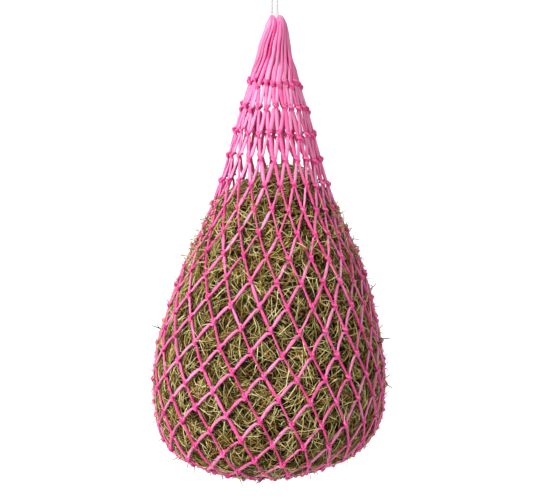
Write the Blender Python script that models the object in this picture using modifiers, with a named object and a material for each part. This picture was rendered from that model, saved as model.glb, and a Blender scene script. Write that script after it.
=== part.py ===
"""A full hay net, hung up by its rope, in metres with +Z up.

The origin is the point that a hook bears on: the inside of the top of the rope's eye. Below it
come the knot, the rope's two strands, the bundle of the net's long loops, the courses of diamond
meshes and the cord that gathers the bottom. The hay inside gives the net its shape.
"""
import math

import bmesh
import bpy
import numpy as np

# The white hanging rope
ROPE_R = 0.003
STRAND_X = 0.0047
EYE_R = 0.010
EYE_CENTRE_Z = ROPE_R - EYE_R
EYE_FOOT_X = 0.0042
SWING_FRONT_Z = -0.042
KNOT_TOP_Z = SWING_FRONT_Z - ROPE_R - 0.0003
KNOT_BOTTOM_Z = -0.0655
KNOT_R = 0.0098
SWING_SIDE_Z = -0.100
STRAND_BOTTOM_Z = -0.0985
BIGHT_TOP_Z = -0.1045
BIGHT_TURN_Z = -0.126
BIGHT_TURN_R = 0.012
PASSAGE_R = 0.0034
TOUCH_GAP = 0.0003

# The bundle of the long loops: (radius, height) down its outer side
BUNCH = ((0.0085, -0.1045), (0.0125, -0.1070), (0.0158, -0.1140), (0.0205, -0.1300),
         (0.0265, -0.1560), (0.0300, -0.1780))

# The netting
TWINE_R = 0.0020
MESHES = 24
BAR = 0.0478
FIRST_KNOTS_Z = -0.2265
FIRST_KNOTS_DROP = 0.0045
BELLY_ROWS = 16
LAST_ROW = 21
GATHER_R = 0.036
GATHER_RING_R = 0.0310
GATHER_TWINE_R = 0.0024
APEX_HALF = 0.0021
CORNER_SWELL = 1.25
MOST_SWELL = 1.9
POINTED_OVER_DEG = 27.0

# How the net hangs: (height, radius of the twine's centre line) down one side
PROFILE = ((-0.178, 0.0305), (-0.224, 0.0445), (-0.300, 0.068), (-0.400, 0.096), (-0.480, 0.126),
           (-0.560, 0.164), (-0.640, 0.191), (-0.730, 0.213), (-0.800, 0.217), (-0.860, 0.208),
           (-0.905, 0.178), (-0.940, 0.107), (-0.954, 0.045), (-0.957, 0.0))
BELLY_SHIFT = 0.0086
BOTTOM_SHIFT = 0.016
ROW_0_TURN = math.radians(10.0)
TURN_PER_ROW = math.radians(1.0)
UNEVEN = 0.17
UNEVEN_FROM_ROW = 5

# The hay
HAY_GAP = 0.0065
HAY_SIDES = 32
HAY_RIM_Z = -0.440
HAY_MOUND = ((0.0, -0.378), (0.030, -0.383), (0.058, -0.399), (0.080, -0.423))
HAY_LEVELS = 13


def smoothstep(x):
    x = min(max(x, 0.0), 1.0)
    return x * x * (3 - 2 * x)


def smooth_curve(points, steps=24):
    """Points along a Catmull-Rom curve through the given points."""
    p = [np.array(q, float) for q in points]
    p = [2 * p[0] - p[1]] + p + [2 * p[-1] - p[-2]]
    line = []
    for a, b, c, d in zip(p, p[1:], p[2:], p[3:]):
        for t in np.linspace(0, 1, steps, endpoint=False):
            line.append(0.5 * (2 * b + (c - a) * t + (2 * a - 5 * b + 4 * c - d) * t ** 2
                               + (3 * b - a - 3 * c + d) * t ** 3))
    line.append(p[-2])
    return np.array(line)


MERIDIAN = smooth_curve(PROFILE)
ALONG = np.concatenate([[0], np.cumsum(np.hypot(*np.diff(MERIDIAN, axis=0).T))])


def side_point(s):
    """Height and radius at arc length s down the net's side."""
    return float(np.interp(s, ALONG, MERIDIAN[:, 0])), float(np.interp(s, ALONG, MERIDIAN[:, 1]))


def arc_at_height(z):
    """Arc length down the side at a height in the neck or belly."""
    return float(np.interp(-z, -MERIDIAN[:, 0], ALONG))


def axis_x(z):
    """The net's middle drifts to -X as it fills out, because it hangs a little unevenly."""
    return -BELLY_SHIFT * smoothstep((-z - 0.5) / 0.25) - BOTTOM_SHIFT * smoothstep((-z - 0.82) / 0.16)


def place(angle, s, sideways=0.0):
    """A point of the net: angle about Z from -Y towards +X, arc length s, and a step sideways."""
    z, r = side_point(s)
    return (axis_x(z) + r * math.sin(angle) + sideways * math.cos(angle),
            -r * math.cos(angle) + sideways * math.sin(angle), z)


def column_angle(column, row):
    """The meshes are closer together on the +X side, fully so from UNEVEN_FROM_ROW down."""
    even = math.pi * column / MESHES
    uneven = UNEVEN * min(row / UNEVEN_FROM_ROW, 1.0)
    return even + uneven * (math.cos(even) - 1) + ROW_0_TURN - TURN_PER_ROW * row


def row_arcs():
    """The arc length of every row of knots at every column, from the length of a mesh's bars."""
    drops = [FIRST_KNOTS_DROP * math.sin(math.pi * column / MESHES) for column in range(2 * MESHES)]
    rows = [[arc_at_height(FIRST_KNOTS_Z - drop) for drop in drops]]
    for row in range(BELLY_ROWS):
        uneven = UNEVEN * min(row / UNEVEN_FROM_ROW, 1.0)
        below = []
        for column, s in enumerate(rows[-1]):
            half_mesh = math.pi / MESHES * (1 - uneven * math.sin(math.pi * column / MESHES))
            across = side_point(s + BAR / 2)[1] * half_mesh
            below.append(s + math.sqrt(BAR ** 2 - across ** 2))
        rows.append(below)
    last = float(np.interp(-GATHER_R, -MERIDIAN[-60:, 1], ALONG[-60:]))
    belly = rows[-1]
    for row in range(BELLY_ROWS + 1, LAST_ROW + 1):
        share = (row - BELLY_ROWS) / (LAST_ROW - BELLY_ROWS)
        rows.append([s + (last - s) * share for s in belly])
    return rows


def collection(name):
    found = bpy.data.collections.new(name)
    bpy.context.scene.collection.children.link(found)
    return found


def material(name, colour, roughness):
    made = bpy.data.materials.new(name)
    made.use_nodes = True
    shader = made.node_tree.nodes["Principled BSDF"]
    shader.inputs["Base Color"].default_value = (*colour, 1)
    shader.inputs["Roughness"].default_value = roughness
    shader.inputs["Metallic"].default_value = 0
    return made


def rope_material(name):
    return material(name, (0.85, 0.84, 0.82), 0.6)


def twine_material(name):
    return material(name, (0.87, 0.07, 0.30), 0.45)


def hay_material(name):
    return material(name, (0.30, 0.24, 0.11), 0.9)


def tube(name, points, radius, into, finish, closed=False, swell=None, sides=2):
    """A tube along points. swell scales the radius at each point."""
    curve = bpy.data.curves.new(name, "CURVE")
    curve.dimensions = "3D"
    curve.bevel_depth = radius
    curve.bevel_resolution = sides
    curve.use_fill_caps = True
    spline = curve.splines.new("POLY")
    spline.points.add(len(points) - 1)
    for i, (point, where) in enumerate(zip(spline.points, points)):
        point.co = (*where, 1)
        point.radius = swell[i] if swell else 1
    spline.use_cyclic_u = closed
    made = bpy.data.objects.new(name, curve)
    curve.materials.append(finish(name))
    into.objects.link(made)
    return made


def turned(name, profile, sides, into, finish):
    """A solid turned about Z from (radius, height) points that run down its outer side."""
    mesh = bpy.data.meshes.new(name)
    points = [(r, 0, z) for r, z in profile]
    mesh.from_pydata(points, [(i, i + 1) for i in range(len(points) - 1)], [])
    made = bpy.data.objects.new(name, mesh)
    mesh.materials.append(finish(name))
    into.objects.link(made)
    screw = made.modifiers.new("turn", "SCREW")
    screw.steps = sides
    screw.render_steps = sides
    screw.use_merge_vertices = True
    screw.merge_threshold = 0.0001
    return made


def as_mesh(made):
    """The object with its curve or modifiers made into a plain mesh, caps welded."""
    bpy.context.view_layer.update()
    graph = bpy.context.evaluated_depsgraph_get()
    mesh = bpy.data.meshes.new_from_object(made.evaluated_get(graph), depsgraph=graph)
    name = made.name
    homes = list(made.users_collection)
    where = made.matrix_world.copy()
    bpy.data.objects.remove(made)
    work = bmesh.new()
    work.from_mesh(mesh)
    bmesh.ops.remove_doubles(work, verts=work.verts, dist=0.00001)
    work.to_mesh(mesh)
    work.free()
    solid = bpy.data.objects.new(name, mesh)
    solid.matrix_world = where
    for home in homes:
        home.objects.link(solid)
    return solid


def cut(made, cutter):
    cutter.hide_render = True
    cutter.display_type = "WIRE"
    step = made.modifiers.new("cut", "BOOLEAN")
    step.operation = "DIFFERENCE"
    step.object = cutter


def bight_route(top_z, steps=6):
    """Down the right strand's line, out and round a half circle, and up the left strand's line."""
    down = [(STRAND_X, BIGHT_TOP_Z)]
    for step in range(1, steps):
        x = STRAND_X + (BIGHT_TURN_R - STRAND_X) * smoothstep(step / steps)
        down.append((x, BIGHT_TOP_Z + (BIGHT_TURN_Z - BIGHT_TOP_Z) * step / steps))
    if top_z > BIGHT_TOP_Z:
        down.insert(0, (STRAND_X, top_z))
    turn = [(BIGHT_TURN_R * math.cos(math.pi * step / 10),
             BIGHT_TURN_Z - BIGHT_TURN_R * math.sin(math.pi * step / 10)) for step in range(11)]
    up = [(-x, z) for x, z in reversed(down)]
    return [(x, 0, z) for x, z in down + turn + up]


def hang_loop(into):
    """The rope's eye. Its feet are rounded about the swing_front axis, so they roll on the knot."""
    arc = [(EYE_R * math.cos(math.radians(a)), 0, EYE_CENTRE_Z + EYE_R * math.sin(math.radians(a)))
           for a in range(-15, 196, 15)]
    ends = ((0.0, 1.0), (0.5, 0.866), (0.8, 0.6), (0.985, 0.17))
    foot = [(EYE_FOOT_X, 0, SWING_FRONT_Z - ROPE_R * down) for down, _ in ends]
    other = [(-x, y, z) for x, y, z in reversed(foot)]
    swell = [width for _, width in reversed(ends)] + [1] * len(arc) + [width for _, width in ends]
    route = list(reversed(foot)) + arc + list(reversed(other))
    tube("hang_loop", route, ROPE_R, into, rope_material, swell=swell)


def hang_knot(into):
    """The knot that joins the strands into the eye, flat where the rope meets it."""
    profile = ((0.0, KNOT_TOP_Z), (0.0078, KNOT_TOP_Z), (0.0093, -0.0485), (KNOT_R, -0.0530),
               (KNOT_R, -0.0590), (0.0093, -0.0630), (0.0081, KNOT_BOTTOM_Z), (0.0, KNOT_BOTTOM_Z))
    turned("hang_knot", profile, 24, into, rope_material)


def strands(into):
    """The two strands between the knot and the loops."""
    for name, x in (("cord_left", -STRAND_X), ("cord_right", STRAND_X)):
        ends = [(x, 0, KNOT_BOTTOM_Z - TOUCH_GAP), (x, 0, STRAND_BOTTOM_Z)]
        tube(name, ends, ROPE_R, into, rope_material)


def bunch_and_bight(into, cutters):
    """The loops' upper part, pressed into one bundle, and the rope's bight inside it."""
    profile = [(0.0, BUNCH[0][1])] + list(BUNCH) + [(0.0, BUNCH[-1][1])]
    bunch = turned("loop_bunch", profile, 24, into, twine_material)
    passage = tube("bight_passage", bight_route(BIGHT_TOP_Z + 0.01), PASSAGE_R, cutters,
                   twine_material)
    cut(as_mesh(bunch), as_mesh(passage))
    tube("cord_bight", bight_route(BIGHT_TOP_Z), ROPE_R, into, rope_material)


def course_tube(name, upper, lower, first_column, into):
    """One course of meshes: a closed zigzag of twine. upper and lower give (row, arcs) of its tips,
    and first_column is 0 or 1, the first column with an upper tip.

    Steep meshes get a short flat at each tip, as wide as the knot, so that the legs stay round;
    wide meshes come to a point, thickened so that the legs keep the twine's width.
    """
    middle = len(upper[1]) // 4
    drop = lower[1][middle] - upper[1][middle]
    radius = side_point(upper[1][middle] + drop / 2)[1]
    slope = math.atan2(radius * math.pi / MESHES, drop)
    pointed = slope > math.radians(POINTED_OVER_DEG)
    swell = min(1 / math.sin(slope), MOST_SWELL) if pointed else CORNER_SWELL
    tip = TWINE_R * swell + TOUCH_GAP / 2
    points = []
    for column in range(2 * MESHES):
        is_upper = column % 2 == first_column
        row, arcs = upper if is_upper else lower
        angle = column_angle(column, row)
        s = arcs[column] + (tip if is_upper else -tip)
        if pointed:
            points.append(place(angle, s))
        else:
            points.append(place(angle, s, -APEX_HALF))
            points.append(place(angle, s, APEX_HALF))
    tube(name, points, TWINE_R, into, twine_material, closed=True, swell=[swell] * len(points), sides=0)


def netting(into):
    """The long loops' lower part, then one course of meshes between each two rows of knots."""
    rows = row_arcs()
    bundle_foot = [arc_at_height(BUNCH[-1][1] - TOUCH_GAP)] * (2 * MESHES)
    course_tube("mesh_course_01", (0, bundle_foot), (0, rows[0]), 1, into)
    for row in range(LAST_ROW):
        name = f"mesh_course_{row + 2:02d}"
        course_tube(name, (row, rows[row]), (row + 1, rows[row + 1]), row % 2, into)


def bottom_gather_cord(into):
    """The ring of cord that draws the last meshes together."""
    s = float(np.interp(-GATHER_R, -MERIDIAN[-60:, 1], ALONG[-60:]))
    z = side_point(s)[0]
    ring = [(axis_x(z) + GATHER_RING_R * math.sin(math.tau * i / 24),
             GATHER_RING_R * math.cos(math.tau * i / 24), z) for i in range(24)]
    tube("bottom_gather_cord", ring, GATHER_TWINE_R, into, twine_material, closed=True)


def hay_fill(into):
    """The hay: a mound in the neck, and the net's own shape, one gap inside it, below."""
    start = arc_at_height(HAY_RIM_Z)
    profile = [(r, z) for r, z in HAY_MOUND]
    for s in np.linspace(start, ALONG[-1], HAY_LEVELS):
        z, r = side_point(s)
        ahead_z, ahead_r = side_point(s + 0.001)
        back_z, back_r = side_point(s - 0.001)
        turn = math.atan2(back_z - ahead_z, ahead_r - back_r)
        profile.append((max(r - HAY_GAP * math.sin(turn), 0.0), z - HAY_GAP * math.cos(turn)))
    profile[-1] = (0.0, profile[-1][1])
    hay = as_mesh(turned("hay_fill", profile, HAY_SIDES, into, hay_material))
    for vertex in hay.data.vertices:
        vertex.co.x += axis_x(vertex.co.z)


def shade():
    """Round pieces shaded smooth, sharp only where they turn by 40 degrees or more."""
    for made in bpy.data.objects:
        if made.type == "MESH":
            made.data.shade_smooth()
            made.data.set_sharp_from_angle(angle=math.radians(40))


def main():
    for old in list(bpy.data.objects):
        bpy.data.objects.remove(old)
    into = collection("hay_net")
    cutters = collection("cutters")
    hang_loop(into)
    hang_knot(into)
    strands(into)
    bunch_and_bight(into, cutters)
    netting(into)
    bottom_gather_cord(into)
    hay_fill(into)
    shade()


main()
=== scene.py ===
"""How a full hay net looks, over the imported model, in metres with +Z up.

The origin is the point that a hook bears on, as in the CAD, and the front faces -Y. The net's
shape is worked out here from the same sizes as the CAD's: knots stand in rows round a turned
shape, and one strand of twine, a course, zigzags between each two rows. The hay is drawn as
separate stems that follow the inside of the net.
"""
import math
from collections import namedtuple

import bpy
import numpy as np
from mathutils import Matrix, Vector

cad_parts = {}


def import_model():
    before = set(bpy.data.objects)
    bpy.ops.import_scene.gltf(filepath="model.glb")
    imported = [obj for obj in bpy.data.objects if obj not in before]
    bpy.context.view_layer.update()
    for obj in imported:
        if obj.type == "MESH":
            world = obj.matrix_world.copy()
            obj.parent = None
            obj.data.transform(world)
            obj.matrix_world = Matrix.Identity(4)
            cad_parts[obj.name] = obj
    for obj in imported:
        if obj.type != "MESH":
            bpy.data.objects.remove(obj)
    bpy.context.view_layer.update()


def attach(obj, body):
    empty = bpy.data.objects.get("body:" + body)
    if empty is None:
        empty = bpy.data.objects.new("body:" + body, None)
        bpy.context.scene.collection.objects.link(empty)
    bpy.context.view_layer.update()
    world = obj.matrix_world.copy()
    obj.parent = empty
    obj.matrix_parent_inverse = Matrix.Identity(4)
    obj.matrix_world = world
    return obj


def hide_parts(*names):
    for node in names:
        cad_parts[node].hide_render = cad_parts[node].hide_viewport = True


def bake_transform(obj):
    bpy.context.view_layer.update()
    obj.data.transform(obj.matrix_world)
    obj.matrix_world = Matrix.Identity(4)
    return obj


# The white rope, as in the CAD
ROPE_R = 0.003
STRAND_X = 0.0047
EYE_R = 0.010
EYE_CENTRE_Z = ROPE_R - EYE_R
EYE_FOOT_X = 0.0042
KNOT_TOP_Z = -0.0453
KNOT_BOTTOM_Z = -0.0655
STRAND_BOTTOM_Z = -0.0985
BIGHT_TURN_Z = -0.126
BIGHT_TURN_R = 0.012

# The rope's three strands: their length of lay, and their size and place in rope radii
ROPE_LAY = 0.019
ROPE_STRAND_R = 0.50
ROPE_STRAND_OUT = 0.53

# The netting, as in the CAD
MESHES = 24
COLUMNS = 2 * MESHES
BAR = 0.0478
FIRST_KNOTS_Z = -0.2265
FIRST_KNOTS_DROP = 0.0045
BELLY_ROWS = 16
LAST_ROW = 21
GATHER_R = 0.036
GATHER_RING_R = 0.0310
PROFILE = ((-0.178, 0.0305), (-0.224, 0.0445), (-0.300, 0.068), (-0.400, 0.096), (-0.480, 0.126),
           (-0.560, 0.164), (-0.640, 0.191), (-0.730, 0.213), (-0.800, 0.217), (-0.860, 0.208),
           (-0.905, 0.178), (-0.940, 0.107), (-0.954, 0.045), (-0.957, 0.0))
BELLY_SHIFT = 0.0086
BOTTOM_SHIFT = 0.016
ROW_0_TURN = math.radians(10.0)
TURN_PER_ROW = math.radians(1.0)
UNEVEN = 0.17
UNEVEN_FROM_ROW = 5

# The hay's outside, as in the CAD
HAY_GAP = 0.0065
HAY_RIM_Z = -0.440
HAY_MEETS_NET_Z = -0.470
HAY_MOUND = ((-0.378, 0.0), (-0.383, 0.030), (-0.399, 0.058), (-0.423, 0.080))

# How far to the +X side the top of the hay's mound lies, and the height over which it leans there
MOUND_SHIFT = 0.022
MOUND_LEAN_HEIGHT = 0.055

# The twine: half of its wide way and of its thin way in the courses, in the long loops and in the
# gathering cord, how uneven its width is, and how long a cell of its braid is
TWINE_WIDE = 0.0029
TWINE_THIN = 0.0017
LOOP_WIDE = 0.0034
LOOP_THIN = 0.0021
GATHER_TWINE = (0.0023, 0.0021)
UNEVEN_WIDTH = 0.07
TWINE_SIDES = 10
BRAID_CELL = 0.0048

# How far the knots are out of place, by row: down the net, and what share of that to the side
SLACK_ROWS = (0, 3, 5)
SLACK_DOWN = (0.0040, 0.0026, 0.0014)
SLACK_SIDEWAYS = (0.25, 0.35, 0.60)

# How large a knot is, and how much one may be turned, in radians
KNOT_SIZE = 0.0045
KNOT_TURN = 0.16

# A sheet bend's two parts, in knot sizes: (right, down, out). The wrap is the lower course's
# strand and the bight the upper one's. Each goes on towards its neighbours at both ends.
WRAP = ((-0.30, 1.15, -0.10), (0.05, 0.25, 0.35), (0.55, -0.55, 0.45), (0.65, -1.00, -0.30),
        (0.00, -1.15, -0.85), (-0.65, -0.95, -0.35), (-0.65, -0.35, 0.50), (-0.05, 0.15, 0.95),
        (0.50, 0.60, 0.70), (0.45, 1.20, 0.20))
BIGHT = ((-0.35, -1.10, 0.00), (-0.36, -0.30, 0.10), (0.00, 0.55, 0.15), (0.36, -0.30, 0.10),
         (0.35, -1.10, 0.00))

# How many steps there are from point to point of a knot, and each part's share of a bar's width
# and its tone, which is low as painted shade in the knot
KNOT_STEPS = 3
WRAP_SHARE = 0.84
WRAP_PAINTED_SHADE = 0.20
BIGHT_SHARE = 0.86
BIGHT_PAINTED_SHADE = 0.25

# The bundle of long loops over the rope: (height, radius) down its outer side
BUNCH_BOTTOM_Z = -0.1780
BUNCH = ((-0.1045, 0.0105), (-0.1140, 0.0150), (-0.1300, 0.0195), (-0.1560, 0.0262),
         (BUNCH_BOTTOM_Z, 0.0305))
CREST_FOOT_Z = -0.1220
CREST_SHIFT = 0.0042

# The long loops' crests stand in two lobes at the rope's strands, and fall away faster towards the middle
LOBE_X = 0.0058
LOBE_TOP_Z = -0.1065
FALL_OUTSIDE = 0.0100
FALL_INSIDE = 0.0140

# The legs of the long loops: how far they wind round, the heights of their points, how far out each of
# six is in the bundle (1 is on the outside), the steps between points and the share of the full width
LOOP_TWIST = math.radians(28)
LEG_HEIGHTS = (-0.204, -0.182, -0.158, -0.136, CREST_FOOT_Z)
LEG_LAYERS = (1.0, 0.62, 1.0, 0.28, 1.0, 0.62)
LOOP_STEPS = 4
LOOP_SHARE = 0.94

# Where a bar's points are, as shares of the way between its knots, and how much narrower it is there
BAR_SHARES = (0.16, 0.32, 0.50, 0.68, 0.84)
BAR_PINCH = (0.20, 0.00, -0.08, 0.00, 0.20)
BAR_STEPS = 5
BAR_MIDDLE = 2 * BAR_STEPS

# In the neck, above this row, every bar has its flat side out, and bars are up to this much wider
NECK_ROWS = 4
NECK_SPREAD = 0.28

# Bars down to the right are darker and mostly on edge. Those up to the right are paler, mostly flat side
# out, and more bowed. The darker and paler tones are painted shade and painted light, as the lamp is at
# the upper left. For each kind: its range of tones, how much paler it is in the neck as painted light,
# the share with the flat side out, and its bow
DOWN_PAINTED_SHADE_TONES = (0.0, 0.60)
DOWN_NECK_PAINTED_LIGHT = 0.24
DOWN_FLAT_SHARE = 0.25
DOWN_BOW = 0.0006
UP_PAINTED_LIGHT_TONES = (0.35, 1.0)
UP_NECK_PAINTED_LIGHT = 0.18
UP_FLAT_SHARE = 0.85
UP_BOW = 0.0010
UP_BOW_LOWER_DOWN = 0.0020
UP_BOW_SPREAD = 0.0010

# The hay's stems. They bend by so many radians a metre, wave by so many radians with so many radians of
# the wave a metre, and a share of them have a kink of so many radians. Tilt is in metres at the ends.
STEM_RINGS = 8
STEM_BEND = 4.5
STEM_WAVE = 0.09
STEM_WAVES = 260.0
STEM_KINK = 0.7
KINKED_SHARE = 0.28
STEM_TILT = 0.0021
TONE_SPREAD = 0.28

# A layer of stems. depth is how far out from the hay's outside they lie, lift how far one end may
# rise, flat the thickness as a share of the width, and tone how pale they are; the deeper layers' low
# tones are painted shade. band is the part of the hay's side that they start in, as shares of it from the
# mound's top to the bottom. The rim is where stems stick out of the highest full meshes.
Layer = namedtuple("Layer", "name count depth length lift widths flat tone band", defaults=((0.0, 1.0),))
RIM_BAND = (0.12, 0.34)
HAY_LAYERS = (
    Layer("hay_deep_1", 2400, (-0.018, -0.010), (0.025, 0.090), 0.0, (0.0013, 0.0024), 0.6, 0.06),
    Layer("hay_deep_2", 2400, (-0.014, -0.007), (0.025, 0.090), 0.0, (0.0012, 0.0022), 0.5, 0.14),
    Layer("hay_mid_1", 3000, (-0.010, -0.003), (0.018, 0.080), 0.001, (0.0010, 0.0018), 0.6, 0.36),
    Layer("hay_mid_2", 2800, (-0.008, 0.000), (0.018, 0.080), 0.001, (0.0009, 0.0020), 0.35, 0.44),
    Layer("hay_mid_3", 2400, (-0.006, 0.001), (0.015, 0.060), 0.001, (0.0008, 0.0016), 0.6, 0.48),
    Layer("hay_top_1", 2800, (-0.003, 0.002), (0.015, 0.060), 0.003, (0.0008, 0.0016), 0.7, 0.62),
    Layer("hay_top_2", 2200, (-0.002, 0.003), (0.012, 0.050), 0.004, (0.0008, 0.0019), 0.3, 0.70),
    Layer("hay_top_3", 1600, (-0.001, 0.003), (0.015, 0.050), 0.004, (0.0007, 0.0013), 0.7, 0.76),
    Layer("hay_loose", 1300, (0.001, 0.004), (0.012, 0.050), 0.011, (0.0008, 0.0015), 0.6, 0.60),
    Layer("hay_rim", 700, (0.002, 0.009), (0.015, 0.040), 0.010, (0.0010, 0.0019), 0.6, 0.50, RIM_BAND),
    Layer("hay_straws", 320, (0.002, 0.004), (0.045, 0.085), 0.004, (0.0011, 0.0017), 0.7, 0.92),
    Layer("hay_sprigs", 900, (-0.003, 0.001), (0.018, 0.040), 0.020, (0.0013, 0.0022), 0.6, 0.16),
    Layer("hay_ends", 700, (0.001, 0.003), (0.014, 0.030), 0.017, (0.0010, 0.0016), 0.6, 0.34),
)

# The hay's inside, painted dark as shade: how far in it lies and how lumpy it is, and its rings and the
# sides of each
CORE_DEPTH = 0.018
CORE_LUMPS = 0.0025
CORE_RINGS = 110
CORE_SIDES = 150

# Colours. Those of the hay are (place, colour) stops from its shade to its light.
# The twine's deep pink is its painted shade, and its pale pink is its painted light.
PINK_PAINTED_SHADE = (0.77, 0.006, 0.225, 1)
PINK_PAINTED_LIGHT = (0.83, 0.330, 0.550, 1)
ROPE_SHADE = (0.58, 0.57, 0.55, 1)
ROPE_WHITE = (0.88, 0.87, 0.85, 1)
RUST = (0.430, 0.175, 0.040, 1)
GREEN_HAY = ((0.00, (0.012, 0.005, 0.001)), (0.25, (0.088, 0.073, 0.014)),
             (0.50, (0.262, 0.232, 0.060)), (0.75, (0.580, 0.545, 0.178)),
             (1.00, (0.940, 0.900, 0.440)))
TAN_HAY = ((0.00, (0.018, 0.006, 0.001)), (0.25, (0.130, 0.062, 0.012)),
           (0.50, (0.390, 0.225, 0.052)), (0.75, (0.740, 0.510, 0.155)),
           (1.00, (1.000, 0.880, 0.500)))
# The hay's inside is painted near black, as shade.
INSIDE_HAY_SHADE = ((0.35, (0.006, 0.004, 0.002)), (0.55, (0.022, 0.015, 0.006)),
              (0.75, (0.070, 0.052, 0.020)))

# The room. The camera looks down and to the left by these angles.
WORLD_LIGHT = 0.68
SEEN_BRIGHTER = 0.5
KEY_LIGHT = 4.0
KEY_PLACE = (-1.9, -1.6, 1.7)
KEY_WIDTH = math.radians(16)
FLOOR_Z = -2.0
FLOOR_HALF = 30.0
CAMERA_PLACE = (0.0, -2.1, -0.261)
CAMERA_LENS = 76.67
CAMERA_DOWN_DEG = 7.33
CAMERA_LEFT_DEG = 0.38

# Where each set of random draws starts
KNOT_SEED = 7
NETTING_SEED = 11
LOOP_SEED = 5
CORE_SEED = 3
FIRST_LAYER_SEED = 100

Side = namedtuple("Side", "points along")


# ------------------------------------------------------------------ curves and surfaces

def smoothstep(x):
    """0 below 0, 1 above 1, and an S-shaped rise between them."""
    x = np.clip(x, 0.0, 1.0)
    return x * x * (3 - 2 * x)


def unit(vectors):
    """The vectors at length 1."""
    return vectors / np.maximum(np.linalg.norm(vectors, axis=-1, keepdims=True), 1e-12)


def smooth_curve(points, steps=24):
    """Points along an even Catmull-Rom curve through the given points."""
    p = [np.array(q, float) for q in points]
    p = [2 * p[0] - p[1]] + p + [2 * p[-1] - p[-2]]
    curve = []
    for i in range(1, len(p) - 2):
        for step in range(steps):
            t = step / steps
            curve.append(0.5 * (2 * p[i] + (p[i + 1] - p[i - 1]) * t
                                + (2 * p[i - 1] - 5 * p[i] + 4 * p[i + 1] - p[i + 2]) * t ** 2
                                + (3 * p[i] - p[i - 1] - 3 * p[i + 1] + p[i + 2]) * t ** 3))
    return np.array(curve + [p[-2]])


def as_side(points):
    """A line of (height, radius) with the distance along it, to turn about the net's middle."""
    points = np.asarray(points, float)
    steps = np.hypot(*np.diff(points, axis=0).T)
    return Side(points, np.concatenate([[0.0], np.cumsum(steps)]))


def side_point(side, s):
    """The height and radius at a distance down a side."""
    return np.interp(s, side.along, side.points[:, 0]), np.interp(s, side.along, side.points[:, 1])


def axis_x(z):
    """How far a turned shape's middle is to the side: the belly leans one way, the bottom further."""
    return -BELLY_SHIFT * smoothstep((-z - 0.5) / 0.25) - BOTTOM_SHIFT * smoothstep((-z - 0.82) / 0.16)


def surface(side, angle, s, out=0.0):
    """Points on a turned side, out from it, and the ways right, down and out there.

    The angle is 0 at the front and grows towards +X.
    """
    angle, s, out = np.broadcast_arrays(np.asarray(angle, float), s, out)
    z, r = side_point(side, s)
    z_above, r_above = side_point(side, s - 0.004)
    z_below, r_below = side_point(side, s + 0.004)
    slope = np.stack([r_below - r_above, z_below - z_above], -1)
    dr, dz = np.moveaxis(unit(slope), -1, 0)
    sin, cos = np.sin(angle), np.cos(angle)
    right = np.stack([cos, sin, np.zeros_like(sin)], -1)
    down = np.stack([dr * sin, -dr * cos, dz], -1)
    outward = np.stack([-dz * sin, dz * cos, dr], -1)
    points = np.stack([axis_x(z) + r * sin, -r * cos, z], -1) + out[..., None] * outward
    return points, right, down, outward


def spline(points, steps):
    """A smooth curve through points, with steps[i] steps from point i to the next one."""
    p = np.asarray(points, float)
    p = np.concatenate([[2 * p[0] - p[1]], p, [2 * p[-1] - p[-2]]])
    gap = np.maximum(np.linalg.norm(np.diff(p, axis=0), axis=1), 1e-7)[:, None] ** 0.5
    speed = np.diff(p, axis=0) / gap
    tangent = (speed[:-1] * gap[1:] + speed[1:] * gap[:-1]) / (gap[:-1] + gap[1:])
    segment = np.repeat(np.arange(len(steps)), steps)
    t = np.concatenate([np.arange(n) / n for n in steps])[:, None]
    a, b = p[1:-1][segment], p[2:][segment]
    da, db = tangent[segment] * gap[1:][segment], tangent[segment + 1] * gap[1:][segment]
    curve = ((2 * t ** 3 - 3 * t ** 2 + 1) * a + (t ** 3 - 2 * t ** 2 + t) * da
             + (3 * t ** 2 - 2 * t ** 3) * b + (t ** 3 - t ** 2) * db)
    return np.concatenate([curve, p[-2:-1]])


def between(values, steps):
    """Values at a spline's points, straight from one given value to the next."""
    stations = np.concatenate([[0], np.cumsum(steps)])
    return np.interp(np.arange(stations[-1] + 1), stations, values)


def directions(path):
    """The way that a path goes at each of its points."""
    return unit(np.gradient(path, axis=-2))


def carried_side(path, first):
    """A way across a path, or across many, that starts as the given one and turns least."""
    ways = directions(path)
    side = np.broadcast_to(first, ways[..., 0, :].shape)
    sides = np.empty_like(path)
    for i in range(path.shape[-2]):
        way = ways[..., i, :]
        side = unit(side - np.sum(side * way, -1, keepdims=True) * way)
        sides[..., i, :] = side
    return sides


def turned_side(path, side, turn):
    """The way across a path, turned about it."""
    up = np.cross(directions(path), side)
    return np.cos(turn)[..., None] * side + np.sin(turn)[..., None] * up


def length_along(path):
    """How far along a path each of its points is."""
    steps = np.linalg.norm(np.diff(path, axis=-2), axis=-1)
    start = np.zeros(steps.shape[:-1] + (1,))
    return np.concatenate([start, np.cumsum(steps, -1)], -1)


# ------------------------------------------------------------------ meshes

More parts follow.
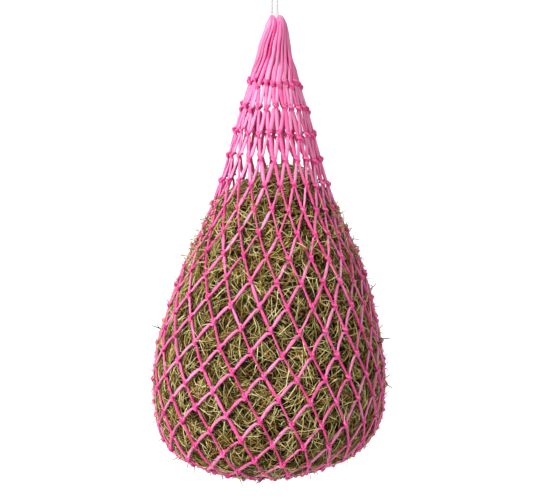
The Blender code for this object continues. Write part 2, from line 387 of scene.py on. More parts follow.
class Strands:
    """Closed tubes gathered into one mesh.

    Each vertex keeps "lay": how far along its strand it is, in metres, and the cosine and sine of
    the angle round it. "tone" is a number from 0 to 1 for a strand, or a place on it: partly its own, and
    partly painted shade and painted light.
    """

    def __init__(self):
        self.points = []
        self.faces = []
        self.lay = []
        self.tone = []
        self.count = 0

    def add(self, path, side, wide, thin, sides, tone=0.5):
        """Tubes along paths of (tubes, rings, 3), oval with wide along side, in half widths."""
        path = path.reshape((-1,) + path.shape[-2:])
        side = side.reshape(path.shape)
        tubes, rings = path.shape[:2]
        wide = np.broadcast_to(wide, (tubes, rings))[..., None, None]
        thin = np.broadcast_to(thin, (tubes, rings))[..., None, None]
        up = np.cross(directions(path), side)[:, :, None]
        turn = 2 * math.pi * np.arange(sides) / sides
        cos, sin = np.cos(turn)[:, None], np.sin(turn)[:, None]
        points = path[:, :, None] + wide * cos * side[:, :, None] + thin * sin * up
        number = self.count + np.arange(tubes * rings * sides).reshape(tubes, rings, sides)
        after = np.roll(number, -1, axis=2)
        walls = np.stack([number[:, :-1], after[:, :-1], after[:, 1:], number[:, 1:]], -1)
        self.faces += [walls.reshape(-1, 4), number[:, 0, ::-1], number[:, -1]]
        self.points.append(points.reshape(-1, 3))
        along = np.broadcast_to(length_along(path)[..., None], number.shape)
        lay = [along, np.broadcast_to(cos[:, 0], number.shape), np.broadcast_to(sin[:, 0], number.shape)]
        self.lay.append(np.stack(lay, -1).reshape(-1, 3))
        tone = np.broadcast_to(np.atleast_2d(tone)[..., None], number.shape)
        self.tone.append(tone.reshape(-1))
        self.count += number.size

    def piece(self, name, material):
        return mesh_piece(name, np.concatenate(self.points), self.faces, material,
                          lay=np.concatenate(self.lay), tone=np.concatenate(self.tone))


def mesh_piece(name, points, faces, material, lay=None, tone=None):
    """A smooth mesh object from vertex rows and lists of faces, each list with one face a row."""
    mesh = bpy.data.meshes.new(name)
    mesh.vertices.add(len(points))
    mesh.vertices.foreach_set("co", np.ascontiguousarray(points, np.float32).ravel())
    corners = np.concatenate([f.ravel() for f in faces])
    sizes = np.concatenate([np.full(len(f), f.shape[1]) for f in faces])
    mesh.loops.add(len(corners))
    mesh.loops.foreach_set("vertex_index", corners.astype(np.int32))
    mesh.polygons.add(len(sizes))
    starts = np.concatenate([[0], np.cumsum(sizes)[:-1]])
    mesh.polygons.foreach_set("loop_start", starts.astype(np.int32))
    mesh.polygons.foreach_set("use_smooth", np.ones(len(sizes), bool))
    mesh.update(calc_edges=True)
    if lay is not None:
        attribute = mesh.attributes.new("lay", "FLOAT_VECTOR", "POINT")
        attribute.data.foreach_set("vector", lay.astype(np.float32).ravel())
    if tone is not None:
        attribute = mesh.attributes.new("tone", "FLOAT", "POINT")
        attribute.data.foreach_set("value", tone.astype(np.float32))
    mesh.materials.append(material)
    made = bpy.data.objects.new(name, mesh)
    bpy.context.scene.collection.objects.link(made)
    return made


# ------------------------------------------------------------------ materials

def new_tree(name):
    """A new material's node tree and its Principled shader."""
    material = bpy.data.materials.new(name)
    material.use_nodes = True
    tree = material.node_tree
    shader = next(n for n in tree.nodes if n.type == "BSDF_PRINCIPLED")
    return material, tree, shader


def add(tree, kind, inputs=(), **settings):
    """A node with its own settings, and a value or another node's socket for each input."""
    node = tree.nodes.new("ShaderNode" + kind)
    for key, value in settings.items():
        setattr(node, key, value)
    for key, value in dict(inputs).items():
        if isinstance(value, bpy.types.NodeSocket):
            tree.links.new(value, node.inputs[key])
        else:
            node.inputs[key].default_value = value
    return node


def set_inputs(shader, values):
    """Sets the shader's own sockets to plain values."""
    for name, value in values.items():
        shader.inputs[name].default_value = value


def maths(tree, operation, a, b=0.0, c=0.0):
    """A Math node's result."""
    return add(tree, "Math", {0: a, 1: b, 2: c}, operation=operation).outputs[0]


def weighted(tree, start, *terms):
    """The sum of start and of each (value, weight) term."""
    total = start
    for value, weight in terms:
        total = maths(tree, "MULTIPLY_ADD", value, weight, total)
    return total


def noise(tree, place, scale, detail):
    """A noise texture's value, from 0 to 1."""
    return add(tree, "TexNoise", {"Vector": place, "Scale": scale, "Detail": detail}).outputs["Fac"]


def object_place(tree):
    """The place on the object, in metres."""
    return add(tree, "TexCoord").outputs["Object"]


def bumpy(tree, shader, height, strength, distance):
    """Small relief, distance deep, from a height value."""
    bump = add(tree, "Bump", {"Height": height, "Strength": strength, "Distance": distance})
    tree.links.new(bump.outputs[0], shader.inputs["Normal"])


def mixed(tree, share, a, b):
    """Colour a where the share is 0 and b where it is 1."""
    node = add(tree, "Mix", data_type="RGBA")
    for index, value in ((0, share), (6, a), (7, b)):
        if isinstance(value, bpy.types.NodeSocket):
            tree.links.new(value, node.inputs[index])
        else:
            node.inputs[index].default_value = value
    return node.outputs[2]


def ramp(tree, value, stops):
    """A colour ramp through (place, colour) stops."""
    node = add(tree, "ValToRGB", {0: value})
    points = node.color_ramp.elements
    while len(points) < len(stops):
        points.new(0.5)
    for point, (place, colour) in zip(points, stops):
        point.position = place
        point.color = (*colour, 1.0)
    return node.outputs[0]


def lay_of(tree):
    """Sockets for the distance along a strand, the angle round it, and how near its flat face is."""
    attribute = add(tree, "Attribute", attribute_name="lay")
    parts = add(tree, "SeparateXYZ", {0: attribute.outputs["Vector"]})
    angle = maths(tree, "ARCTAN2", parts.outputs[2], parts.outputs[1])
    return parts.outputs[0], angle, maths(tree, "ABSOLUTE", parts.outputs[2])


def tone_of(tree):
    """The tone of a strand, or a place on it: partly its own, partly painted shade and painted light."""
    return add(tree, "Attribute", attribute_name="tone").outputs["Fac"]


def twine_material():
    """Braided synthetic twine: two sets of plaits cross round it in small raised cells.

    It is paler on the flat faces and raised cells, a painted highlight, and deep pink at the edges and in
    the grooves, painted shade.
    """
    material, tree, shader = new_tree("pink_braided_twine")
    along, angle, face = lay_of(tree)
    run = maths(tree, "MULTIPLY", along, math.pi / BRAID_CELL)
    right_hand = maths(tree, "SINE", maths(tree, "MULTIPLY_ADD", angle, 2.0, run))
    left_hand = maths(tree, "SINE", maths(tree, "SUBTRACT", maths(tree, "MULTIPLY", angle, 2.0), run))
    cell = maths(tree, "SQRT", maths(tree, "ABSOLUTE", maths(tree, "MULTIPLY", right_hand, left_hand)))
    place = object_place(tree)
    patches = noise(tree, place, 60.0, 2.0)
    fibres = noise(tree, place, 1800.0, 2.0)
    # Painted light: the bars' tones, the raised cells and the flat faces mix towards the pale pink, and
    # the grooves and edges towards the deep pink. The patches fall at random.
    painted_light_and_patches = weighted(tree, -1.15, (tone_of(tree), 0.75), (patches, 0.50), (cell, 0.80), (face, 0.60))
    tree.links.new(mixed(tree, painted_light_and_patches, PINK_PAINTED_SHADE, PINK_PAINTED_LIGHT), shader.inputs["Base Color"])
    tree.links.new(weighted(tree, 0.32, (fibres, 0.22)), shader.inputs["Roughness"])
    bumpy(tree, shader, weighted(tree, cell, (fibres, 0.35)), 0.8, 0.0005)
    set_inputs(shader, {"Specular IOR Level": 0.5, "Coat Weight": 0.3, "Coat Roughness": 0.40,
                        "Sheen Weight": 0.06, "Sheen Roughness": 0.5, "Sheen Tint": (1.0, 0.75, 0.88, 1),
                        "Subsurface Weight": 0.5, "Subsurface Radius": (1.0, 0.3, 0.7),
                        "Subsurface Scale": 0.004})
    return material


def rope_material():
    """White laid rope: each strand's yarns wind round it in fine ridges."""
    material, tree, shader = new_tree("white_laid_rope")
    along, angle, _ = lay_of(tree)
    twist = maths(tree, "MULTIPLY_ADD", angle, 9.0, maths(tree, "MULTIPLY", along, -2600.0))
    yarn = weighted(tree, 0.5, (maths(tree, "SINE", twist), 0.5))
    fibres = noise(tree, object_place(tree), 1500.0, 3.0)
    # Painted shade: ROPE_SHADE fills the grooves between the yarns, mixed with fibres at random.
    share = weighted(tree, 0.0, (fibres, 0.5), (yarn, 0.6))
    tree.links.new(mixed(tree, share, ROPE_SHADE, ROPE_WHITE), shader.inputs["Base Color"])
    bumpy(tree, shader, weighted(tree, yarn, (fibres, 0.5)), 0.6, 0.0003)
    set_inputs(shader, {"Roughness": 0.65, "Sheen Weight": 0.25})
    return material


def stem_material():
    """Dried grass, greener in some handfuls: each stem has its own tone and tint, darker in the deeper
    layers as painted shade, and fine ribs.
    """
    material, tree, shader = new_tree("hay_stems")
    angle = lay_of(tree)[1]
    place = object_place(tree)
    stem_tone_and_shade = tone_of(tree)
    pick = add(tree, "TexWhiteNoise", {"W": maths(tree, "MULTIPLY", stem_tone_and_shade, 977.0)},
               noise_dimensions="1D").outputs["Value"]
    ribs = maths(tree, "SINE", maths(tree, "MULTIPLY", angle, 7.0))
    stains = noise(tree, place, 70.0, 3.0)
    handful = noise(tree, place, 16.0, 2.0)
    grain = noise(tree, place, 900.0, 2.0)
    tone = weighted(tree, -0.35, (stains, 0.7), (stem_tone_and_shade, 1.0), (ribs, 0.04))
    brown = weighted(tree, -0.65, (pick, 0.9), (handful, 1.4))
    grassy = mixed(tree, brown, ramp(tree, tone, GREEN_HAY), ramp(tree, tone, TAN_HAY))
    rusty = maths(tree, "MULTIPLY", maths(tree, "GREATER_THAN", pick, 0.86), 0.75)
    tree.links.new(mixed(tree, rusty, grassy, RUST), shader.inputs["Base Color"])
    tree.links.new(weighted(tree, 0.40, (grain, 0.3)), shader.inputs["Roughness"])
    bumpy(tree, shader, weighted(tree, ribs, (grain, 0.6)), 0.5, 0.0002)
    set_inputs(shader, {"Specular IOR Level": 0.12})
    return material


def core_material():
    """The hay's inside, seen between the outer stems, painted dark as shade."""
    material, tree, shader = new_tree("hay_inside_shade")
    stretched = add(tree, "Mapping", {"Vector": object_place(tree), "Scale": (1.0, 1.0, 0.3)}).outputs[0]
    strands = noise(tree, stretched, 260.0, 4.0)
    tree.links.new(ramp(tree, strands, INSIDE_HAY_SHADE), shader.inputs["Base Color"])
    bumpy(tree, shader, strands, 1.0, 0.002)
    set_inputs(shader, {"Roughness": 0.95})
    return material


# ------------------------------------------------------------------ where the knots are

def column_angle(column, row):
    """The meshes are closer together on the +X side, fully so from UNEVEN_FROM_ROW down."""
    even = math.pi * np.asarray(column, float) / MESHES
    uneven = UNEVEN * np.minimum(np.asarray(row, float) / UNEVEN_FROM_ROW, 1.0)
    return even + uneven * (np.cos(even) - 1) + ROW_0_TURN - TURN_PER_ROW * row


def row_arcs(side):
    """How far down the net each row's knots are, for every column."""
    columns = math.pi * np.arange(COLUMNS) / MESHES
    rows = [arc_at_height(side, FIRST_KNOTS_Z - FIRST_KNOTS_DROP * np.sin(columns))]
    for row in range(BELLY_ROWS):
        uneven = UNEVEN * min(row / UNEVEN_FROM_ROW, 1.0)
        half_mesh = math.pi / MESHES * (1 - uneven * np.sin(columns))
        across = side_point(side, rows[-1] + BAR / 2)[1] * half_mesh
        rows.append(rows[-1] + np.sqrt(BAR ** 2 - across ** 2))
    underside = slice(-60, None)
    last = np.interp(-GATHER_R, -side.points[underside, 1], side.along[underside])
    belly = rows[-1]
    for row in range(BELLY_ROWS + 1, LAST_ROW + 1):
        share = (row - BELLY_ROWS) / (LAST_ROW - BELLY_ROWS)
        rows.append(belly + (last - belly) * share)
    return np.array(rows)


def arc_at_height(side, z):
    """The distance down a side to a height."""
    return np.interp(-np.asarray(z, float), -side.points[:, 0], side.along)


class Knots:
    """Where the knots are, a little out of line as on a hand-tied net."""

    def __init__(self, side, rng):
        rows, columns = np.meshgrid(np.arange(LAST_ROW + 1), np.arange(COLUMNS), indexing="ij")
        arcs = row_arcs(side)
        radius = side_point(side, arcs)[1]
        slack = np.interp(rows, SLACK_ROWS, SLACK_DOWN)
        slack[LAST_ROW] = 0.0
        sideways = np.interp(rows, SLACK_ROWS, SLACK_SIDEWAYS) * slack
        self.angle = column_angle(columns, rows) + sideways * rng.normal(size=rows.shape) / radius
        self.arc = arcs + slack * rng.normal(size=rows.shape)
        self.turn = rng.normal(0.0, KNOT_TURN, rows.shape)
        self.size = KNOT_SIZE * rng.uniform(0.90, 1.10, rows.shape) * np.interp(rows, (1, 5), (1.12, 1.0))
        self.side = side

    def at(self, row, column):
        """A knot's angle, unwound as the column is, and its distance down."""
        laps, column = divmod(column, COLUMNS)
        return self.angle[row, column] + 2 * math.pi * laps, self.arc[row, column]

    def tied(self, row, column, pattern):
        """A pattern of (right, down, out) in knot sizes, tied at this knot."""
        angle, arc = self.at(row, column)
        middle, right, down, out = surface(self.side, angle, arc)
        size = self.size[row, column % COLUMNS]
        turn = self.turn[row, column % COLUMNS]
        x, y, z = (np.asarray(pattern, float) * size).T[:, :, None]
        across = x * math.cos(turn) - y * math.sin(turn)
        along = x * math.sin(turn) + y * math.cos(turn)
        return middle + across * right + along * down + z * out

    def bar(self, start, end, bow, apart):
        """Points on the bar from knot start to knot end, bowed to the left and up.

        apart is how far to the side of each knot's middle the bar leaves it.
        """
        (angle_a, arc_a), (angle_b, arc_b) = self.at(*start), self.at(*end)
        shares = np.asarray(BAR_SHARES, float)
        arc = arc_a + (arc_b - arc_a) * shares
        offset = math.copysign(apart, angle_b - angle_a) / side_point(self.side, arc)[1]
        angle = angle_a + (angle_b - angle_a) * shares + offset * (1 - 2 * shares)
        points, right, down, _ = surface(self.side, angle, arc)
        lift = (4 * bow * shares * (1 - shares))[:, None]
        return points - lift * (0.75 * right + 0.66 * down)


# ------------------------------------------------------------------ the netting

def flat_turns(path, side, outward, marks, faces_out):
    """How far to turn the carried side so that a bar's flat faces out, or stands on edge.

    marks are the rings at the bars' middles; the turn runs evenly from one to the next.
    """
    way = directions(path)[marks]
    out = unit(outward - np.sum(outward * way, -1, keepdims=True) * way)
    wanted = np.where(np.asarray(faces_out)[:, None], np.cross(out, way), out)
    up = np.cross(way, side[marks])
    turn = np.arctan2(np.sum(wanted * up, -1), np.sum(wanted * side[marks], -1))
    turn = np.unwrap(turn, period=math.pi)
    return np.interp(np.arange(len(path)), marks, turn)


class Line:
    """What one course's strand is at each of its points, as it is laid from knot to knot."""

    def __init__(self, knots, neck, rng):
        self.knots = knots
        self.neck = neck
        self.rng = rng
        self.points = []
        self.steps = []
        self.wide = []
        self.tones = []
        self.marks = []
        self.outward = []
        self.faces_out = []

    def lay(self, points, step, half_widths, tone):
        """Adds points with the steps after each, their share of the width, and their tone."""
        self.points.extend(points)
        self.steps.extend([step] * len(points))
        self.wide.extend(np.broadcast_to(half_widths, len(points)))
        self.tones.extend([tone] * len(points))

    def bar(self, start, end, bow, faces_out, tone):
        """Adds the bar between two knots. In the neck it is wider, and stands apart at its knots."""
        self.marks.append(sum(self.steps) + BAR_MIDDLE)
        swell = (1.0 + NECK_SPREAD * self.neck) * self.rng.uniform(0.90 - 0.10 * self.neck, 1.10)
        pinch = (1 - 0.8 * self.neck) * np.array(BAR_PINCH)
        apart = 0.0006 + 0.0014 * self.neck
        self.lay(self.knots.bar(start, end, bow, apart), BAR_STEPS, swell * (1 - pinch), tone)
        angle = (self.knots.at(*start)[0] + self.knots.at(*end)[0]) / 2
        arc = (self.knots.at(*start)[1] + self.knots.at(*end)[1]) / 2
        self.outward.append(surface(self.knots.side, angle, arc)[3])
        self.faces_out.append(faces_out)

    def shape(self):
        """The strand's path, its flat side, and for each ring its share of the width and its tone."""
        steps = self.steps[:-1]
        path = spline(self.points, steps)
        side = carried_side(path, np.array([0.0, 0.0, 1.0]))
        turn = flat_turns(path, side, np.array(self.outward), np.array(self.marks), self.faces_out)
        return path, turned_side(path, side, turn), between(self.wide, steps), between(self.tones, steps)


def course(knots, row, rng):
    """The strand between one row of knots and the next, with bars that bow where the net is open."""
    neck = 1 - smoothstep((row - 1) / 4)
    open_share = smoothstep((row - 2) / 5) * (1 - smoothstep((row - 15) / 3))
    bight = np.asarray(BIGHT) * (1.15 if row + 1 == LAST_ROW else 1.0)
    first = row % 2
    wrap = WRAP[1:]
    line = Line(knots, neck, rng)
    for column in range(first, first + COLUMNS, 2):
        # The knots' low tones are painted shade.
        line.lay(knots.tied(row, column, wrap), KNOT_STEPS, WRAP_SHARE, WRAP_PAINTED_SHADE)
        faces_out = row < NECK_ROWS or rng.random() < DOWN_FLAT_SHARE
        # Painted shade: bars down to the right get darker tones, and paler ones in the neck as painted
        # light.
        tone = rng.uniform(*DOWN_PAINTED_SHADE_TONES) + DOWN_NECK_PAINTED_LIGHT * neck
        line.bar((row, column), (row + 1, column + 1), DOWN_BOW * open_share, faces_out, tone)
        line.lay(knots.tied(row + 1, column + 1, bight), KNOT_STEPS, BIGHT_SHARE, BIGHT_PAINTED_SHADE)
        bow = UP_BOW + UP_BOW_LOWER_DOWN * smoothstep((row - 7) / 6) + UP_BOW_SPREAD * rng.normal()
        faces_out = row < NECK_ROWS or rng.random() < UP_FLAT_SHARE
        # Painted light: bars up to the right get paler tones, paler still in the neck.
        tone = rng.uniform(*UP_PAINTED_LIGHT_TONES) + UP_NECK_PAINTED_LIGHT * neck
        line.bar((row + 1, column + 1), (row, column + 2), bow * open_share, faces_out, tone)
        wrap = WRAP
    line.lay(knots.tied(row, first + COLUMNS, WRAP[:2]), KNOT_STEPS, WRAP_SHARE, WRAP_PAINTED_SHADE)
    return line.shape()


def lumps(rng, count):
    """Slow uneven steps up and down around 1, for a strand's width."""
    rough = rng.normal(size=count + 4)
    return 1 + UNEVEN_WIDTH * np.convolve(rough, np.array([0.5, 0.9, 1.0, 0.9, 0.5]) / 1.8, "valid")


def netting(knots, material):
    """One piece for each course of meshes, from the second course down."""
    rng = np.random.default_rng(NETTING_SEED)
    for row in range(LAST_ROW):
        path, side, swell, tones = course(knots, row, rng)
        strand = Strands()
        wide = TWINE_WIDE * swell * lumps(rng, len(path))
        thin = TWINE_THIN * lumps(rng, len(path))
        strand.add(path, side, wide, thin, TWINE_SIDES, tones)
        piece = strand.piece(f"net_course_{row + 2:02d}", material)
        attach(piece, "net")
        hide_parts(f"mesh_course_{row + 2:02d}")


def bunch_radius(z):
    """The radius of the bundle of long loops at a height."""
    heights, radii = zip(*BUNCH)
    return np.interp(-np.asarray(z, float), -np.array(heights), radii)


def leg(knots, column, half, rng):
    """Points up one leg of a long loop, from just above its knot to the crest over the rope.

    half is -1 for the leg that goes up to the left of the knot and 1 for the other.
    """
    even = math.pi / MESHES * (column + 0.5 * half) + ROW_0_TURN
    layer = LEG_LAYERS[(column + (half - 1) // 2) % len(LEG_LAYERS)]
    start_angle, start_arc = knots.at(0, column)
    start_z, start_r = side_point(knots.side, start_arc)
    points = []
    for z in LEG_HEIGHTS:
        rise = (z - start_z) / (CREST_FOOT_Z - start_z)
        angle = start_angle + (even - start_angle) * smoothstep(rise * 3) + LOOP_TWIST * rise
        if z < BUNCH_BOTTOM_Z:
            r = np.interp(-z, (-BUNCH_BOTTOM_Z, -start_z), (bunch_radius(BUNCH_BOTTOM_Z), start_r))
        else:
            r = bunch_radius(z)
        packed = 1.0 + (layer - 1.0) * smoothstep((z + 0.215) / 0.075)
        r = r * packed + 0.0006 * rng.normal()
        shift = CREST_SHIFT * smoothstep((z + 0.165) / 0.05)
        points.append((shift + r * math.sin(angle), -r * math.cos(angle), z))
    return np.array(points + crest(np.array(points[-1]), layer))


def crest(foot, layer):
    """Points from the foot of a crest up to its top over the rope, where the loops draw in sideways.

    The inner layers of the bundle have lower crests.
    """
    x = foot[0] - CREST_SHIFT
    crest_x = math.copysign(0.0014 + 0.48 * abs(x), x)
    off_lobe = (abs(crest_x) - LOBE_X) / LOBE_X
    fall = FALL_OUTSIDE if off_lobe > 0 else FALL_INSIDE
    top_z = LOBE_TOP_Z - fall * off_lobe ** 2 - 0.009 * (1 - layer)
    points = []
    for share in (0.36, 0.7, 0.9, 1.0):
        turn = share * math.pi / 2
        points.append((foot[0] + (CREST_SHIFT + crest_x - foot[0]) * share,
                       foot[1] * math.cos(turn),
                       foot[2] + (top_z - foot[2]) * math.sin(turn)))
    return points


def long_loops(knots, material):
    """The net's first course: loops from the first row of knots up over the rope."""
    rng = np.random.default_rng(LOOP_SEED)
    strands = Strands()
    for column in range(0, COLUMNS, 2):
        left = leg(knots, column, -1, rng)
        right = leg(knots, column, 1, rng)
        tied = knots.tied(0, column, BIGHT)
        steps = [LOOP_STEPS] * len(left) + [KNOT_STEPS] * (len(tied) - 1) + [LOOP_STEPS] * len(right)
        shares = [LOOP_SHARE] * len(left) + [BIGHT_SHARE] * len(tied) + [LOOP_SHARE] * len(right)
        path = spline(np.concatenate([left[::-1], tied, right]), steps)
        side = carried_side(path, np.array([1.0, 0.0, 0.0]))
        share = np.linspace(0, 1, len(path))
        wander = rng.uniform(-1.2, 1.2) * np.sin(math.pi * share)
        wander += rng.uniform(-1, 1) * np.sin(2 * math.pi * share)
        tones = np.interp(share, (0.0, 0.25, 0.45, 0.55, 0.75, 1.0), rng.uniform(0.25, 1.1, 6))
        wide = LOOP_WIDE * between(shares, steps) * lumps(rng, len(path))
        strands.add(path, turned_side(path, side, wander), wide, LOOP_THIN, TWINE_SIDES, tones)
    piece = strands.piece("long_loops", material)
    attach(piece, "net")
    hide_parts("loop_bunch", "mesh_course_01")


def bottom_gather(material):
    """The cord through the lowest meshes, twice round, drawn tight."""
    strands = Strands()
    turn = np.linspace(0.0, 4 * math.pi, 200)
    heights, radii = np.array(PROFILE[:-5:-1]).T
    z = np.interp(GATHER_RING_R, radii, heights)
    lift = 0.0022 * np.cos(turn / 4)
    centre = axis_x(z)
    radius = GATHER_RING_R + 0.0012 * np.sin(turn / 2)
    path = np.stack([centre + radius * np.sin(turn), -radius * np.cos(turn), z - 0.001 + lift], -1)
    side = carried_side(path, np.array([0.0, 0.0, 1.0]))
    strands.add(path, side, *GATHER_TWINE, TWINE_SIDES)
    piece = strands.piece("bottom_gather", material)
    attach(piece, "net")
    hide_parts("bottom_gather_cord")


# ------------------------------------------------------------------ the rope

def laid_rope(strands, path, first=(0.0, 1.0, 0.0)):
    """Three strands laid round each other along a path."""
    side = carried_side(path, np.array(first))
    along = length_along(path)
    for strand in range(3):
        turn = 2 * math.pi * (along / ROPE_LAY + strand / 3)
        way = turned_side(path, side, turn)
        middle = path + ROPE_STRAND_OUT * ROPE_R * way
        radius = ROPE_STRAND_R * ROPE_R
        strands.add(middle, carried_side(middle, way[0]), radius, radius, 12)


def even_path(points, step=0.0007):
    """A smooth curve through points, in even short steps."""
    fine = spline(points, [20] * (len(points) - 1))
    along = length_along(fine)
    places = np.linspace(0, along[-1], int(along[-1] / step) + 2)
    return np.stack([np.interp(places, along, fine[:, k]) for k in range(3)], -1)


def hanging_rope(material):
    """Down from the knot, through every long loop and back up to the knot."""
    down = [(STRAND_X - 0.0004, 0.0, KNOT_BOTTOM_Z + 0.008), (STRAND_X, 0.0, KNOT_BOTTOM_Z),
            (STRAND_X, 0.0, -0.082), (STRAND_X + 0.0003, 0.0, STRAND_BOTTOM_Z),
            (STRAND_X + 0.0024, 0.0, -0.108), (BIGHT_TURN_R - 0.0017, 0.0, -0.1175)]
    turn = [(BIGHT_TURN_R * math.cos(a), 0.0, BIGHT_TURN_Z - BIGHT_TURN_R * math.sin(a))
            for a in np.linspace(0, math.pi, 7)]
    up = [(-x, y, z) for x, y, z in reversed(down)]
    path = even_path(down + turn + up)
    strands = Strands()
    laid_rope(strands, path)
    return strands.piece("hanging_rope", material), path


def rope_knot(material):
    """The knot under the eye: the rope's end wound round its own two parts."""
    strands = Strands()
    wind = np.linspace(0.0, 1.0, 60)
    turn = 2 * math.pi * 2.55 * wind + math.radians(-60)
    z = -0.0492 - 0.0128 * wind
    round_it = [(0.0064 * math.cos(t), 0.0062 * math.sin(t), h) for t, h in zip(turn, z)]
    first, last = np.array(round_it[0]), np.array(round_it[-1])
    start = [(0.0006, -0.0012, -0.0525), 0.5 * first + (0.001, -0.0012, -0.0245)]
    end = [0.5 * last + (0.0, 0.001, -0.0318), (0.0002, 0.0014, -0.0580)]
    path = even_path(start + round_it[::4] + end)
    laid_rope(strands, path, (0.0, 0.0, 1.0))
    piece = strands.piece("rope_knot", material)
    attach(piece, "knot")
    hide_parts("hang_knot")
    return piece


def rope_eye(material):
    """The eye that goes over the hook, with its two parts down into the knot."""
    foot = [(EYE_FOOT_X, 0.0, -0.0545), (EYE_FOOT_X, 0.0, KNOT_TOP_Z), (EYE_FOOT_X + 0.0003, 0.0, -0.036),
            (0.0070, 0.0, -0.0245)]
    over = [(EYE_R * math.cos(a), 0.0, EYE_CENTRE_Z + EYE_R * math.sin(a))
            for a in np.radians([-38, 0, 38, 90, 142, 180, 218])]
    path = even_path(foot + over + [(-x, y, z) for x, y, z in reversed(foot)])
    strands = Strands()
    laid_rope(strands, path)
    piece = strands.piece("rope_eye", material)
    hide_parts("hang_loop")
    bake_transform(piece)
    return piece


def rope(material):
    """The eye, the knot and the long part that hangs from it."""
    eye = rope_eye(material)
    knot = rope_knot(material)
    piece, path = hanging_rope(material)
    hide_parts("cord_left", "cord_right", "cord_bight")
    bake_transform(piece)


# ------------------------------------------------------------------ the hay

def hay_side(net):
    """The hay's outside, from the top of the mound to the middle of the bottom."""
    rim_r = side_point(net, arc_at_height(net, HAY_RIM_Z))[1] - HAY_GAP
    points = list(HAY_MOUND) + [(HAY_RIM_Z, rim_r)]
    first = arc_at_height(net, HAY_MEETS_NET_Z)
    for s in np.linspace(first, net.along[-1], 26):
        z, r = side_point(net, s)
        z_below, r_below = side_point(net, s + 0.003)
        z_above, r_above = side_point(net, s - 0.003)
        dr, dz = unit(np.array([r_below - r_above, z_below - z_above]))
        points.append((z - HAY_GAP * dr, max(r + HAY_GAP * dz, 0.0)))
    points[-1] = (points[-1][0], 0.0)
    return as_side(smooth_curve(points, 8))


class Meshes:
    """Finds how near to a mesh's middle a place on the net is."""

    def __init__(self, side):
        self.side = side
        self.arcs = row_arcs(side)
        self.mean = self.arcs.mean(axis=1)

    def middle(self, angle, z):
        """0 on the twine and 1 in the middle of a mesh."""
        s = arc_at_height(self.side, z)
        row = np.interp(s, self.mean, np.arange(LAST_ROW + 1))
        uneven = UNEVEN * np.minimum(row / UNEVEN_FROM_ROW, 1.0)
        even = angle  # column_angle undone, by putting each answer in again
        for _ in range(6):
            even = angle - ROW_0_TURN + TURN_PER_ROW * row - uneven * (np.cos(even) - 1)
        column = even * MESHES / math.pi
        low = np.floor(column).astype(int)
        share = column - low
        arcs = self.arcs[:, low % COLUMNS] * (1 - share) + self.arcs[:, (low + 1) % COLUMNS] * share
        above = np.clip(np.sum(arcs <= s, axis=0) - 1, 0, LAST_ROW - 1)
        top = np.take_along_axis(arcs, above[None], 0)[0]
        bottom = np.take_along_axis(arcs, above[None] + 1, 0)[0]
        row = above + np.clip((s - top) / (bottom - top), 0, 1)
        across = np.sin(math.pi * (column + row) / 2) * np.sin(math.pi * (column - row) / 2)
        return np.sqrt(np.abs(across))


def mound_lean(z):
    """How far the hay at a height lies to the side of the net's middle line: only the mound does."""
    return MOUND_SHIFT * smoothstep((z - HAY_RIM_Z) / MOUND_LEAN_HEIGHT)


def hay_core(side, material):
    """The hay's inside, painted dark as shade, with the lumps that show between stems."""
    rng = np.random.default_rng(CORE_SEED)
    s = np.linspace(0.004, side.along[-1] - 0.004, CORE_RINGS)[:, None]
    angle = 2 * math.pi * np.arange(CORE_SIDES)[None] / CORE_SIDES
    depth = -CORE_DEPTH + CORE_LUMPS * rng.normal(size=(CORE_RINGS, CORE_SIDES))
    points = surface(side, angle, s, depth)[0].reshape(-1, 3)
    points[:, 0] += mound_lean(points[:, 2])
    number = np.arange(CORE_RINGS * CORE_SIDES).reshape(CORE_RINGS, CORE_SIDES)
    after = np.roll(number, -1, axis=1)
    walls = np.stack([number[:-1], number[1:], after[1:], after[:-1]], -1).reshape(-1, 4)
    piece = mesh_piece("hay_core", points, [walls, number[:1], number[-1:, ::-1]], material)
    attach(piece, "net")
    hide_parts("hay_fill")


def stem_lies(side, layer, rng):
    """How a layer's stems wander over the hay's side: the angle and the distance down of each ring."""
    fine = np.linspace(*layer.band, 400) * side.along[-1]
    weight = np.cumsum(side_point(side, fine)[1] + 0.008)
    start = np.interp(rng.random(layer.count) * weight[-1], weight, fine)
    angle = rng.random(layer.count) * 2 * math.pi
    heading = rng.random(layer.count) * 2 * math.pi
    size = rng.uniform(*layer.length, layer.count) * rng.uniform(0.7, 1.0, layer.count)
    bend = rng.normal(0.0, STEM_BEND, layer.count)
    wave = rng.normal(0.0, STEM_WAVE, layer.count)
    phase = rng.uniform(0.0, 2 * math.pi, layer.count)
    kink = rng.normal(0.0, STEM_KINK, layer.count) * (rng.random(layer.count) < KINKED_SHARE)
    kink_ring = rng.integers(2, STEM_RINGS - 1, layer.count)
    step = size / (STEM_RINGS - 1)
    angles = [angle]
    arcs = [start]
    for ring in range(1, STEM_RINGS):
        way = heading + bend * step * ring + wave * np.sin(phase + STEM_WAVES * step * ring)
        way += kink * (ring >= kink_ring)
        r = np.maximum(side_point(side, arcs[-1])[1], 0.03)
        angles.append(angles[-1] + np.cos(way) * step / r)
        arcs.append(np.clip(arcs[-1] + np.sin(way) * step, 0.002, side.along[-1] - 0.002))
    return np.array(angles).T, np.array(arcs).T


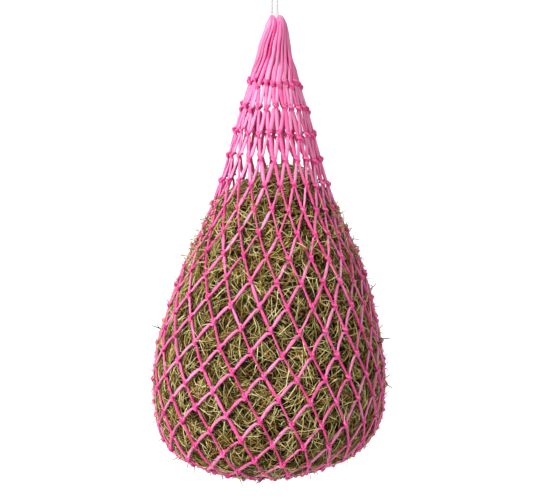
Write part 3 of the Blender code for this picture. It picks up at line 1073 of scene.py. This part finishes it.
def stem_paths(side, meshes, layer, rng):
    """Paths of a layer's stems, which swell out a little in the middle of each mesh of the net."""
    angles, arcs = stem_lies(side, layer, rng)
    share = np.linspace(0, 1, STEM_RINGS)[None]
    below = rng.uniform(*layer.depth, layer.count)[:, None]
    tilt = rng.normal(0.0, STEM_TILT, layer.count)[:, None] * (share - 0.5) * 2
    rise = rng.random(layer.count)[:, None] ** 1.5 * layer.lift * smoothstep((share - 0.35) / 0.65)
    z = side_point(side, arcs)[0]
    middle = meshes.middle(angles.ravel(), z.ravel()).reshape(angles.shape)
    pillow = (0.0085 * middle - 0.0020) * smoothstep((-z + HAY_RIM_Z) / 0.03)
    paths = surface(side, angles, arcs, below + tilt + rise + pillow)[0]
    paths[..., 0] += mound_lean(z)
    return paths


def stems(side, meshes, layer, rng, material):
    """One layer of stems: flat blades that turn a little and end in a point."""
    paths = stem_paths(side, meshes, layer, rng)
    tones = np.clip(rng.normal(layer.tone, TONE_SPREAD, layer.count), 0, 1)
    share = np.linspace(0, 1, STEM_RINGS)
    across = carried_side(paths, unit(rng.normal(size=(layer.count, 3))))
    across = turned_side(paths, across, rng.normal(0, 1.0, layer.count)[:, None] * share[None])
    half = rng.uniform(*layer.widths, layer.count)[:, None] / 2
    taper = np.interp(share, (0, 0.1, 0.75, 1.0), (0.7, 1.0, 0.9, 0.35))[None]
    strands = Strands()
    strands.add(paths, across, half * taper, half * layer.flat * taper, 4, tones[:, None])
    piece = strands.piece(layer.name, material)
    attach(piece, "net")


def hay(net, core, material):
    """All of the hay: a core painted dark as shade, and stems in layers from the deepest to the loose
    ends.
    """
    side = hay_side(net)
    hay_core(side, core)
    meshes = Meshes(net)
    for number, layer in enumerate(HAY_LAYERS):
        stems(side, meshes, layer, np.random.default_rng(FIRST_LAYER_SEED + number), material)


# ------------------------------------------------------------------ the room

def floor():
    """A plain pale floor, well below the hanging net, which looks brighter than it is lit."""
    corners = [(x * FLOOR_HALF, y * FLOOR_HALF, FLOOR_Z) for x, y in ((-1, -1), (1, -1), (1, 1), (-1, 1))]
    material, tree, shader = new_tree("floor")
    set_inputs(shader, {"Base Color": (0.60, 0.60, 0.60, 1), "Roughness": 1.0,
                        "Emission Color": (1, 1, 1, 1)})
    seen = add(tree, "LightPath").outputs["Is Camera Ray"]
    tree.links.new(maths(tree, "MULTIPLY", seen, SEEN_BRIGHTER), shader.inputs["Emission Strength"])
    mesh_piece("floor", np.array(corners), [np.array([[0, 1, 2, 3]])], material)


def key_light():
    """A soft sun that shines from the upper left towards the origin."""
    light = bpy.data.lights.new("key", "SUN")
    light.energy = KEY_LIGHT
    light.angle = KEY_WIDTH
    made = bpy.data.objects.new("key", light)
    made.location = KEY_PLACE
    made.rotation_euler = (-Vector(KEY_PLACE)).to_track_quat("-Z", "Y").to_euler()
    bpy.context.scene.collection.objects.link(made)


def room():
    """A soft white world, which looks brighter than it shines, with a lamp and a floor."""
    world = bpy.data.worlds.new("studio")
    world.use_nodes = True
    tree = world.node_tree
    background = next(n for n in tree.nodes if n.type == "BACKGROUND")
    background.inputs["Color"].default_value = (1, 1, 1, 1)
    seen = add(tree, "LightPath").outputs["Is Camera Ray"]
    tree.links.new(weighted(tree, WORLD_LIGHT, (seen, SEEN_BRIGHTER)), background.inputs["Strength"])
    bpy.context.scene.world = world
    bpy.context.scene.view_settings.view_transform = "Standard"
    key_light()
    floor()


def camera():
    """At the photograph's angle: a little above the middle, looking slightly down."""
    made = bpy.data.cameras.new("camera")
    made.lens = CAMERA_LENS
    made.sensor_width = 36.0
    holder = bpy.data.objects.new("camera", made)
    holder.location = CAMERA_PLACE
    holder.rotation_euler = (math.radians(90 - CAMERA_DOWN_DEG), 0.0, math.radians(CAMERA_LEFT_DEG))
    bpy.context.scene.collection.objects.link(holder)
    bpy.context.scene.camera = holder


# ------------------------------------------------------------------ all of it

def main():
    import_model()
    camera()
    room()
    rope(rope_material())
    net = as_side(smooth_curve(PROFILE))
    knots = Knots(net, np.random.default_rng(KNOT_SEED))
    pink = twine_material()
    long_loops(knots, pink)
    netting(knots, pink)
    bottom_gather(pink)
    hay(net, core_material(), stem_material())


main()
